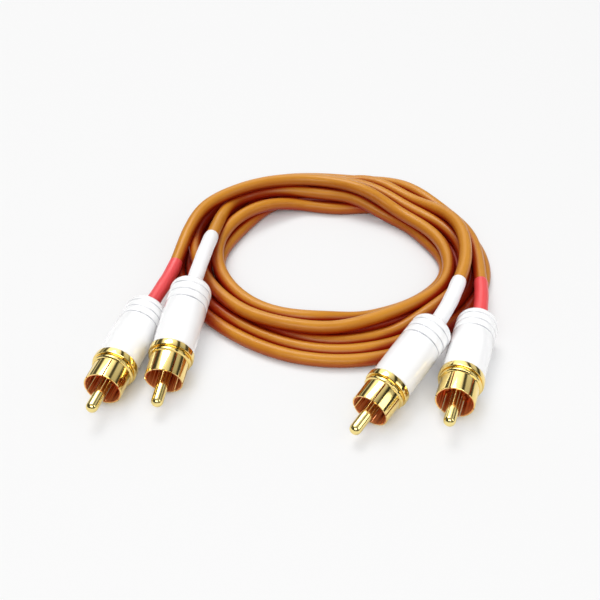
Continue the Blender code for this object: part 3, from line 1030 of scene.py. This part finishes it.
# Cables
@dataclass
class CableRun:
    """One free cable from boot end to boot end, sizes in mm."""

    name: str
    node: str
    route: tuple[Ring | float, ...]
    first_station: float
    start: PlugPose
    end: PlugPose
    diameter: float = 3.8
    sides: int = 8
    fine: int = 6
    eased: list[Vector] = field(default_factory=list)

    def stations(self) -> list[Vector]:
        """Route points in mm, in the row frame."""
        points = []
        for index, place in enumerate(self.route):
            radius, height = place if isinstance(place, tuple) else (place, ON_TABLE)
            angle = radians(180.0 - self.first_station - STATION_STEP * index)
            points.append(Vector((COIL_CENTRE[0] + radius * cos(angle),
                                  COIL_CENTRE[1] + radius * sin(angle), height)) + SHIFT)
        return [Vector(self.start.boot_end) + SHIFT] + points + [Vector(self.end.boot_end) + SHIFT]

    def line(self) -> list[Vector]:
        """Centreline in mm, eased if that has been done."""
        return self.eased or self.curve()

    def curve(self) -> list[Vector]:
        """Smooth curve through the stations, in mm."""
        held = self.stations()
        held = [held[0] * 2 - held[1]] + held + [held[-1] * 2 - held[-2]]
        points = []
        for before, first, second, after in zip(held, held[1:], held[2:], held[3:]):
            for step in range(self.fine):
                u = step / self.fine
                points.append((first * 2 + (second - before) * u
                               + (before * 2 - first * 5 + second * 4 - after) * u * u
                               + (first * 3 - before - second * 3 + after) * u ** 3) * 0.5)
        points.append(held[-2])
        for point in points:
            point.z = max(point.z, self.diameter / 2.0)
        return points

    def leave(self, at_start: bool) -> Vector:
        """Direction of the cable away from the boot at one of its ends."""
        line = self.line() if at_start else self.line()[::-1]
        return (line[2] - line[0]).normalized()

    def length(self) -> float:
        """Centreline length in metres."""
        line = self.line()
        return sum((b - a).length for a, b in zip(line, line[1:])) * MM

    def build(self, look: bpy.types.Material, far_pieces: list[Piece]) -> Piece:
        """Args:
            look: Jacket material.
            far_pieces: Pieces of the plug on its far end; not used.

        Returns:
            The cable, a curve of one open spline.
        """
        line = self.line()
        item = Bench.tube(self.name, line, self.diameter / 2.0, self.sides)
        settle(item, look, self.node)
        tuple(line[0] * MM)
        round(self.length(), 3)
        LOG.info("%s is %.3f m long", self.name, self.length())
        return item


@dataclass(frozen=True)
class CoilEase:
    """Takes the small kinks out of both cables and keeps every turn clear of the next, in mm."""

    rounds: int = 6
    passes: int = 60
    pushes: int = 3
    ease: float = 0.5
    give_back: float = -0.505
    apart: float = 3.80
    drift: float = 0.6
    held_ends: int = 3
    own_turn: int = 18
    least: float = 1e-6

    def separate(self, points: np.ndarray, near: np.ndarray, inner: np.ndarray) -> None:
        """Push touching turns apart and keep them on the table.

        Args:
            points: Points of all cables, changed in place.
            near: Pairs that are neighbours along one cable, left alone.
            inner: Rows that may move.
        """
        gaps = points[:, None] - points[None]
        reach = np.linalg.norm(gaps, axis=2)
        close = (reach < self.apart) & ~near
        push = np.where(close, (self.apart - reach) * 0.5, 0.0) / np.maximum(reach, self.least)
        shift = (gaps * push[:, :, None]).sum(1) / np.maximum(close.sum(1), 1)[:, None]
        points[inner] += shift[inner]
        points[:, 2] = np.maximum(points[:, 2], ON_TABLE)

    def apply(self, runs: list[CableRun]) -> None:
        """Ease the cables together.

        Args:
            runs: The cables, which keep their eased lines.
        """
        lines = [np.array([list(point) for point in run.curve()]) for run in runs]
        owner = np.repeat(np.arange(len(lines)), [len(line) for line in lines])
        place = np.concatenate([np.arange(len(line)) for line in lines])
        left = np.concatenate([np.arange(len(line))[::-1] for line in lines])
        home = np.vstack(lines)
        inner = np.nonzero(np.minimum(place, left) >= self.held_ends)[0]
        beside = np.abs(place[:, None] - place[None]) < self.own_turn
        near = (owner[:, None] == owner[None]) & beside
        points = home.copy()
        for _ in range(self.rounds):
            for share in (self.ease, self.give_back) * self.passes:
                middle = 0.5 * (points[inner - 1] + points[inner + 1])
                points[inner] += share * (middle - points[inner])
            for _ in range(self.pushes):
                self.separate(points, near, inner)
            off = points - home
            far = np.maximum(np.linalg.norm(off, axis=1), self.least)
            points = home + off * np.minimum(1.0, self.drift / far)[:, None]
        for index, run in enumerate(runs):
            run.eased = [Vector(row) for row in points[owner == index]]
        most = float(np.linalg.norm(points - home, axis=1).max())
        LOG.info("cables eased by at most %.2f mm", most)


# Studio
@dataclass(frozen=True)
class Lamp:
    """A soft rectangular lamp: place, aim and size in metres, power in watts."""

    name: str
    place: Point
    aim: Point
    size: Pair
    power: float

    def build(self) -> None:
        """Hang the lamp."""
        data = bpy.data.lights.new(self.name, "AREA")
        data.shape = "RECTANGLE"
        data.size, data.size_y = self.size
        data.energy = self.power
        item = Bench.put(self.name, data)
        item.location = self.place
        way = Vector(self.aim) - Vector(self.place)
        item.rotation_euler = way.to_track_quat("-Z", "Y").to_euler()


@dataclass(frozen=True)
class Studio:
    """Pale table, soft lights and the camera at the photograph's angle."""

    pitch: float = 41.0
    distance: float = 0.3073
    lens: float = 63.0
    clip: Pair = (0.01, 10.0)
    table_size: float = 6.0
    table_colour: Colour = (0.88, 0.88, 0.88, 1.0)
    table_seen: Colour = (0.93, 0.93, 0.93, 1.0)
    table_rough: float = 0.6
    table_specular: float = 0.2
    shadow_lift: float = 0.7
    contact_reach: float = 0.006
    contact_gain: float = 1.5
    sky: float = 0.46
    tent_middle: float = 1.75
    tent_side: float = 0.85
    tent_gap: float = 0.07
    tent_strip: Stripe = (-0.04, 0.09, 0.14)
    tent_gaps: tuple[Stripe, ...] = ((0.20, 0.025, 0.03), (-0.30, 0.05, 0.04),
                                    (0.44, 0.03, 0.05), (-0.48, 0.05, 0.04))
    front_fade: Pair = (0.45, 0.9)
    front_least: float = 0.25
    lamps: tuple[Lamp, ...] = (
        Lamp("key_softbox", (-0.22, 0.52, 1.08), (0.0, 0.02, 0.0), (0.6, 0.5), 6.9),
        Lamp("side_softbox", (0.62, -0.25, 0.42), (0.0, 0.02, 0.0), (0.25, 0.5), 0.9),
        Lamp("front_softbox", (-0.10, -0.66, 0.60), (0.0, 0.0, 0.0), (0.7, 0.30), 3.0),
    )

    def camera(self) -> None:
        """Camera looking at the photograph's centre from its angle."""
        data = bpy.data.cameras.new("camera")
        data.lens = self.lens
        data.clip_start, data.clip_end = self.clip
        item = Bench.put("camera", data)
        pitch = radians(self.pitch)
        back = Vector((0.0, -self.distance * cos(pitch), self.distance * sin(pitch)))
        item.location = SHIFT * MM + back
        item.rotation_euler = (pi / 2.0 - pitch, 0.0, 0.0)
        bpy.context.scene.camera = item

    def table(self) -> None:
        """Large pale table top under the cable."""
        Bench.clear()
        bpy.ops.mesh.primitive_plane_add(size=self.table_size)
        item = bpy.context.object
        item.name = "table_top"
        shader = Shader("table_pale")
        shader.feed("Base Color", self.table_colour)
        shader.feed("Roughness", self.table_rough)
        shader.feed("Specular IOR Level", self.table_specular)
        plain = shader.node("ShaderNodeEmission", sockets={"Color": self.table_seen})
        seen = shader.node("ShaderNodeLightPath", out="Is Camera Ray") * self.shadow_lift
        open_by = shader.openness(self.contact_reach) * self.contact_gain
        seen = seen * (open_by + (1.0 - self.contact_gain)).clamp()
        lit = Sock(shader.tree, shader.principled.outputs[0])
        both = shader.node("ShaderNodeMixShader", sockets={0: seen, 1: lit, 2: plain})
        supply(shader.tree, shader.tree.nodes["Material Output"].inputs["Surface"], both)
        item.data.materials.append(shader.material)

    def world(self) -> None:
        """Soft sky for light, and a light tent with dark gaps for what polished pieces mirror."""
        world = bpy.data.worlds.new("studio")
        bpy.context.scene.world = world
        world.use_nodes = True
        graph = Graph(world.node_tree)
        background = graph.tree.nodes["Background"].inputs
        background["Color"].default_value = (1.0, 1.0, 1.0, 1.0)
        way = graph.node("ShaderNodeTexCoord", out="Generated")
        side = graph.part(way, 0).turn(graph.part(way, 2))
        gaps = sum(side.band(*gap) for gap in self.tent_gaps).clamp()
        strip = side.band(*self.tent_strip) * (self.tent_middle - self.tent_side)
        tent = (strip + self.tent_side) * (1.0 - gaps) + gaps * self.tent_gap
        back = (graph.part(way, 1) + self.front_fade[0]) * self.front_fade[1]
        tent = tent * back.clamp(self.front_least, 1.0)
        camera = graph.node("ShaderNodeLightPath", out="Is Camera Ray")
        glossy = graph.node("ShaderNodeLightPath", out="Is Glossy Ray")
        level = camera + (1.0 - camera) * (glossy * tent + (1.0 - glossy) * self.sky)
        supply(graph.tree, background["Strength"], level)

    def build(self) -> None:
        """Set the stage."""
        self.camera()
        self.table()
        self.world()
        for lamp in self.lamps:
            lamp.build()
        bpy.context.scene.view_settings.view_transform = "Standard"
        LOG.info("studio built")


def main() -> None:
    """Build the plugs, the cables and the studio, and report each piece."""
    logging.basicConfig(level=logging.INFO, format="%(name)s: %(message)s")
    outer_left, inner_left, inner_right, outer_right = PLUGS
    outer = CableRun("cord_outer", "cable_outer", OUTER_ROUTE, 15.0, outer_left, outer_right)
    inner = CableRun("cord_inner", "cable_inner", INNER_ROUTE, 30.0, inner_left, inner_right)
    CoilEase().apply([outer, inner])
    looks = {look: look.value.build() for look in Look}
    pattern = PlugPattern()
    pattern.build()
    plugs: dict[Corner, Plug] = {}
    for pose, run in zip(PLUGS, (outer, inner, inner, outer)):
        plug = Plug(pose, looks)
        plug.build(pattern, run.leave(at_start=pose is run.start))
        plugs[pose.corner] = plug
        LOG.info("plug %s built", pose.corner.value)
    pattern.drop()
    for run in (outer, inner):
        far = plugs[run.end.corner]
        inside = [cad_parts[part + run.end.corner.value] for part in ("clamp_", "lead_")]
        run.build(looks[Look.JACKET], far.pieces + inside)
    Studio().build()


if __name__ == "__main__":
    main()
